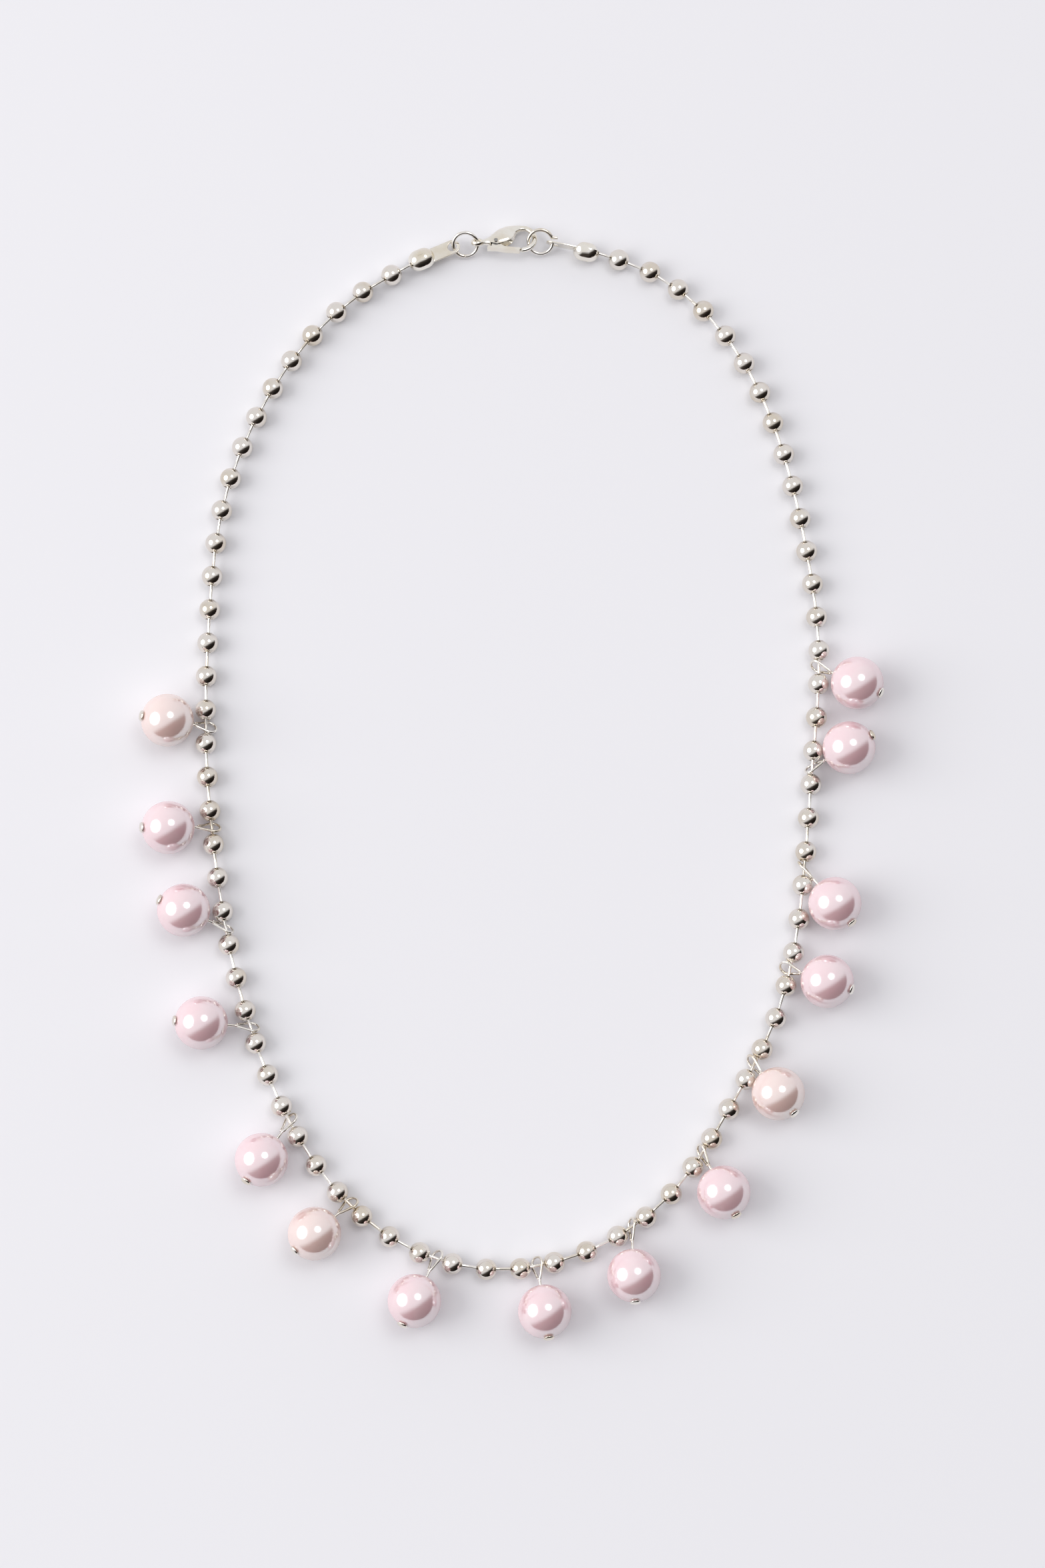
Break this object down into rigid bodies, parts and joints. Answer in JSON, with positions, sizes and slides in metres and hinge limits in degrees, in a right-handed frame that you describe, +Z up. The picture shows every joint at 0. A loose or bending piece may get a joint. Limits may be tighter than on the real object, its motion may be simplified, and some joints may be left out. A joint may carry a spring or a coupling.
{
  "type": "charm necklace",
  "caption": "Short ball-and-bar chain necklace with pearl charms on headpins, closed at the nape by jump rings and a lobster clasp.",
  "frame": {"origin": "middle of the loop's outline, on the surface that the necklace rests on", "axes": "+Z up from the surface, +Y from the front of the loop to the clasp, +X to the right seen from above"},
  "size_m": [0.1228, 0.1858, 0.0087],
  "materials": {
    "silver_plate": "bright silver plating over brass",
    "pearl": "pale pink pearl lacquer over a moulded ball",
    "spring_steel": "drawn wire"
  },
  "bodies": {
    "front": {"beads_front": "silver_plate", "bars_front": "silver_plate"},
    "section_1": {"beads_left_1": "silver_plate", "beads_right_1": "silver_plate", "bars_left_1": "silver_plate", "bars_right_1": "silver_plate"},
    "section_2": {"beads_left_2": "silver_plate", "beads_right_2": "silver_plate", "bars_left_2": "silver_plate", "bars_right_2": "silver_plate"},
    "section_3": {"beads_left_3": "silver_plate", "beads_right_3": "silver_plate", "bars_left_3": "silver_plate", "bars_right_3": "silver_plate"},
    "section_4": {"beads_left_4": "silver_plate", "beads_right_4": "silver_plate", "bars_left_4": "silver_plate", "bars_right_4": "silver_plate"},
    "section_5": {"beads_left_5": "silver_plate", "beads_right_5": "silver_plate", "bars_left_5": "silver_plate", "bars_right_5": "silver_plate"},
    "headpin_01": {"headpin_01": "silver_plate"},
    "pearl_01": {"pearl_01": "pearl"},
    "headpin_02": {"headpin_02": "silver_plate"},
    "pearl_02": {"pearl_02": "pearl"},
    "headpin_03": {"headpin_03": "silver_plate"},
    "pearl_03": {"pearl_03": "pearl"},
    "headpin_04": {"headpin_04": "silver_plate"},
    "pearl_04": {"pearl_04": "pearl"},
    "headpin_05": {"headpin_05": "silver_plate"},
    "pearl_05": {"pearl_05": "pearl"},
    "headpin_06": {"headpin_06": "silver_plate"},
    "pearl_06": {"pearl_06": "pearl"},
    "headpin_07": {"headpin_07": "silver_plate"},
    "pearl_07": {"pearl_07": "pearl"},
    "headpin_08": {"headpin_08": "silver_plate"},
    "pearl_08": {"pearl_08": "pearl"},
    "headpin_09": {"headpin_09": "silver_plate"},
    "pearl_09": {"pearl_09": "pearl"},
    "headpin_10": {"headpin_10": "silver_plate"},
    "pearl_10": {"pearl_10": "pearl"},
    "headpin_11": {"headpin_11": "silver_plate"},
    "pearl_11": {"pearl_11": "pearl"},
    "headpin_12": {"headpin_12": "silver_plate"},
    "pearl_12": {"pearl_12": "pearl"},
    "headpin_13": {"headpin_13": "silver_plate"},
    "pearl_13": {"pearl_13": "pearl"},
    "headpin_14": {"headpin_14": "silver_plate"},
    "pearl_14": {"pearl_14": "pearl"},
    "headpin_15": {"headpin_15": "silver_plate"},
    "pearl_15": {"pearl_15": "pearl"},
    "connector_left": {"connector_left": "silver_plate"},
    "jump_ring_left": {"jump_ring_left": "silver_plate"},
    "clasp": {"clasp_body": "silver_plate", "clasp_pin": "spring_steel", "clasp_spring": "spring_steel"},
    "clasp_lever": {"clasp_lever": "silver_plate"},
    "jump_ring_right": {"jump_ring_right": "silver_plate"},
    "connector_right": {"connector_right": "silver_plate"}
  },
  "joints": [
    {"name": "fold_1", "type": "hinge", "parent": "front", "child": "section_1", "pos_m": [-0.03143, -0.0651, 0.00175], "axis": [1, -0.0053, 0], "range_deg": [-15, 15]},
    {"name": "fold_2", "type": "hinge", "parent": "section_1", "child": "section_2", "pos_m": [-0.04501, -0.03459, 0.00175], "axis": [0.9999, -0.0143, 0], "range_deg": [-15, 15]},
    {"name": "fold_3", "type": "hinge", "parent": "section_2", "child": "section_3", "pos_m": [-0.0497, -0.00701, 0.00175], "axis": [0.9999, -0.0123, 0], "range_deg": [-15, 15]},
    {"name": "fold_4", "type": "hinge", "parent": "section_3", "child": "section_4", "pos_m": [-0.05015, 0.02654, 0.00175], "axis": [0.9999, -0.0125, 0], "range_deg": [-15, 15]},
    {"name": "fold_5", "type": "hinge", "parent": "section_4", "child": "section_5", "pos_m": [-0.0429, 0.05906, 0.00175], "axis": [0.9999, -0.0111, 0], "range_deg": [-15, 15]},
    {"name": "lever_open", "type": "hinge", "parent": "clasp", "child": "clasp_lever", "pos_m": [-0.00265, 0.08932, 0.00228], "axis": [0, 0.3746, 0.9272], "range_deg": [0, 22], "stiffness_Nm_per_rad": 0.001, "springref_deg": -20.05},
    {"name": "clasp_roll", "type": "hinge", "parent": "section_5", "child": "clasp", "pos_m": [-0.00575, 0.0895, 0.0022], "axis": [0.9986, 0.0487, -0.0197], "range_deg": [-5, 8]},
    {"name": "ring_left_roll", "type": "hinge", "parent": "section_5", "child": "jump_ring_left", "pos_m": [-0.00978, 0.08886, 0.00175], "axis": [0.9817, 0.1555, 0.1098], "range_deg": [-8, 8]},
    {"name": "ring_right_roll", "type": "hinge", "parent": "section_5", "child": "jump_ring_right", "pos_m": [0.0028, 0.08992, 0.00203], "axis": [0.9901, -0.1391, -0.0199], "range_deg": [-5, 8]},
    {"name": "connector_left_roll", "type": "hinge", "parent": "section_5", "child": "connector_left", "pos_m": [-0.01631, 0.08609, 0.00175], "axis": [0.9205, 0.3907, 0], "range_deg": [-8, 8]},
    {"name": "connector_right_roll", "type": "hinge", "parent": "section_5", "child": "connector_right", "pos_m": [0.00686, 0.08935, 0.00195], "axis": [0.9781, -0.2079, 0], "range_deg": [-8, 8]},
    {"name": "charm_01_swing", "type": "hinge", "parent": "section_3", "child": "headpin_01", "pos_m": [-0.05058, 0.00771, 0.00175], "axis": [-0.0173, 0.9999, 0], "continuous": true},
    {"name": "charm_02_swing", "type": "hinge", "parent": "section_2", "child": "headpin_02", "pos_m": [-0.04947, -0.00904, 0.00175], "axis": [-0.1094, 0.994, 0], "continuous": true},
    {"name": "charm_03_swing", "type": "hinge", "parent": "section_2", "child": "headpin_03", "pos_m": [-0.04701, -0.02565, 0.00175], "axis": [-0.1896, 0.9819, 0], "continuous": true},
    {"name": "charm_04_swing", "type": "hinge", "parent": "section_1", "child": "headpin_04", "pos_m": [-0.04283, -0.04191, 0.00175], "axis": [-0.314, 0.9494, 0], "continuous": true},
    {"name": "charm_05_swing", "type": "hinge", "parent": "section_1", "child": "headpin_05", "pos_m": [-0.0363, -0.05736, 0.00175], "axis": [-0.4733, 0.8809, 0], "continuous": true},
    {"name": "charm_06_swing", "type": "hinge", "parent": "front", "child": "headpin_06", "pos_m": [-0.0264, -0.07082, 0.00175], "axis": [-0.7148, 0.6993, 0], "continuous": true},
    {"name": "charm_07_swing", "type": "hinge", "parent": "front", "child": "headpin_07", "pos_m": [-0.01229, -0.07959, 0.00175], "axis": [-0.9481, 0.318, 0], "continuous": true},
    {"name": "charm_08_swing", "type": "hinge", "parent": "front", "child": "headpin_08", "pos_m": [0.00423, -0.08078, 0.00175], "axis": [-0.9843, -0.1766, 0], "continuous": true},
    {"name": "charm_09_swing", "type": "hinge", "parent": "front", "child": "headpin_09", "pos_m": [0.01963, -0.07448, 0.00175], "axis": [-0.8294, -0.5586, 0], "continuous": true},
    {"name": "charm_10_swing", "type": "hinge", "parent": "section_1", "child": "headpin_10", "pos_m": [0.03119, -0.0625, 0.00175], "axis": [-0.5513, -0.8343, 0], "continuous": true},
    {"name": "charm_11_swing", "type": "hinge", "parent": "section_1", "child": "headpin_11", "pos_m": [0.03974, -0.04805, 0.00175], "axis": [-0.4746, -0.8802, 0], "continuous": true},
    {"name": "charm_12_swing", "type": "hinge", "parent": "section_2", "child": "headpin_12", "pos_m": [0.04574, -0.03243, 0.00175], "axis": [-0.2285, -0.9735, 0], "continuous": true},
    {"name": "charm_13_swing", "type": "hinge", "parent": "section_2", "child": "headpin_13", "pos_m": [0.04825, -0.01584, 0.00175], "axis": [-0.0947, -0.9955, 0], "continuous": true},
    {"name": "charm_14_swing", "type": "hinge", "parent": "section_3", "child": "headpin_14", "pos_m": [0.0497, 0.0009, 0.00175], "axis": [-0.0873, -0.9962, 0], "continuous": true},
    {"name": "charm_15_swing", "type": "hinge", "parent": "section_3", "child": "headpin_15", "pos_m": [0.05091, 0.01765, 0.00175], "axis": [-0.0186, -0.9998, 0], "continuous": true},
    {"name": "pearl_01_spin", "type": "hinge", "parent": "headpin_01", "child": "pearl_01", "pos_m": [-0.05671, 0.00847, 0.00435], "axis": [-0.9147, 0.1124, 0.3881], "continuous": true},
    {"name": "pearl_02_spin", "type": "hinge", "parent": "headpin_02", "child": "pearl_02", "pos_m": [-0.0564, -0.00932, 0.00435], "axis": [-0.9355, -0.0373, 0.3514], "continuous": true},
    {"name": "pearl_03_spin", "type": "hinge", "parent": "headpin_03", "child": "pearl_03", "pos_m": [-0.05373, -0.02293, 0.00435], "axis": [-0.8723, 0.3537, 0.3377], "continuous": true},
    {"name": "pearl_04_spin", "type": "hinge", "parent": "headpin_04", "child": "pearl_04", "pos_m": [-0.05069, -0.0414, 0.00435], "axis": [-0.9477, 0.0613, 0.3133], "continuous": true},
    {"name": "pearl_05_spin", "type": "hinge", "parent": "headpin_05", "child": "pearl_05", "pos_m": [-0.04067, -0.06366, 0.00435], "axis": [-0.5399, -0.7781, 0.321], "continuous": true},
    {"name": "pearl_06_spin", "type": "hinge", "parent": "headpin_06", "child": "pearl_06", "pos_m": [-0.03198, -0.07561, 0.00435], "axis": [-0.7155, -0.6139, 0.3333], "continuous": true},
    {"name": "pearl_07_spin", "type": "hinge", "parent": "headpin_07", "child": "pearl_07", "pos_m": [-0.01572, -0.08646, 0.00435], "axis": [-0.4232, -0.8473, 0.321], "continuous": true},
    {"name": "pearl_08_spin", "type": "hinge", "parent": "headpin_08", "child": "pearl_08", "pos_m": [0.00542, -0.08815, 0.00435], "axis": [0.1505, -0.9322, 0.3291], "continuous": true},
    {"name": "pearl_09_spin", "type": "hinge", "parent": "headpin_09", "child": "pearl_09", "pos_m": [0.0199, -0.08236, 0.00435], "axis": [0.0325, -0.9491, 0.3133], "continuous": true},
    {"name": "pearl_10_spin", "type": "hinge", "parent": "headpin_10", "child": "pearl_10", "pos_m": [0.03454, -0.06893, 0.00435], "axis": [0.4352, -0.8346, 0.3377], "continuous": true},
    {"name": "pearl_11_spin", "type": "hinge", "parent": "headpin_11", "child": "pearl_11", "pos_m": [0.04351, -0.05294, 0.00435], "axis": [0.5632, -0.7296, 0.3881], "continuous": true},
    {"name": "pearl_12_spin", "type": "hinge", "parent": "headpin_12", "child": "pearl_12", "pos_m": [0.05164, -0.0346, 0.00435], "axis": [0.8671, -0.3192, 0.3824], "continuous": true},
    {"name": "pearl_13_spin", "type": "hinge", "parent": "headpin_13", "child": "pearl_13", "pos_m": [0.05303, -0.02183, 0.00435], "axis": [0.5904, -0.7405, 0.321], "continuous": true},
    {"name": "pearl_14_spin", "type": "hinge", "parent": "headpin_14", "child": "pearl_14", "pos_m": [0.05559, 0.0039, 0.00435], "axis": [0.8292, 0.4223, 0.3662], "continuous": true},
    {"name": "pearl_15_spin", "type": "hinge", "parent": "headpin_15", "child": "pearl_15", "pos_m": [0.05704, 0.01465, 0.00435], "axis": [0.8394, -0.4106, 0.3562], "continuous": true}
  ]
}
